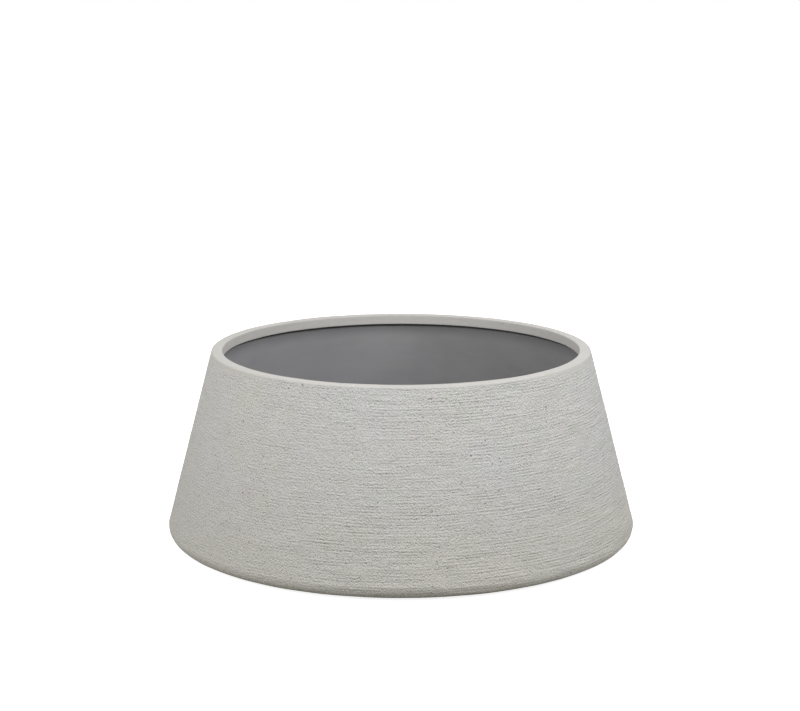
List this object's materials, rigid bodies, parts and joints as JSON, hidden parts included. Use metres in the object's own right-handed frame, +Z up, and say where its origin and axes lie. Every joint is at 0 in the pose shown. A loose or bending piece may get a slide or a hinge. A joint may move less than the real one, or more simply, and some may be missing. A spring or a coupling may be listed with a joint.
{
  "type": "bowl planter",
  "caption": "Low round bowl planter in brushed fibre concrete, wider at its foot than at its mouth, with a dark inner liner and a drain plug.",
  "frame": {"origin": "on the floor, under the middle of the bowl", "axes": "+Z up along the bowl's axis; -Y towards the camera of the picture and +X to its right"},
  "size_m": [0.4996, 0.4996, 0.202],
  "materials": {
    "brushed_concrete": "matte",
    "liner_grey": "satin",
    "raw_concrete": "matte",
    "joint_sealant": "satin",
    "black_rubber": "matte"
  },
  "bodies": {
    "planter": {"wall_shell": "brushed_concrete", "inner_liner": "liner_grey", "base_slab": "raw_concrete", "base_joint_bead": "joint_sealant", "foot_pad_back_right": "black_rubber", "foot_pad_back_left": "black_rubber", "foot_pad_front_left": "black_rubber", "foot_pad_front_right": "black_rubber"},
    "plug": {"drain_plug": "black_rubber"}
  },
  "joints": [
    {"name": "drain_plug_lift", "type": "slide", "parent": "planter", "child": "plug", "axis": [0, 0, 1], "range_m": [0, 0.2]}
  ]
}
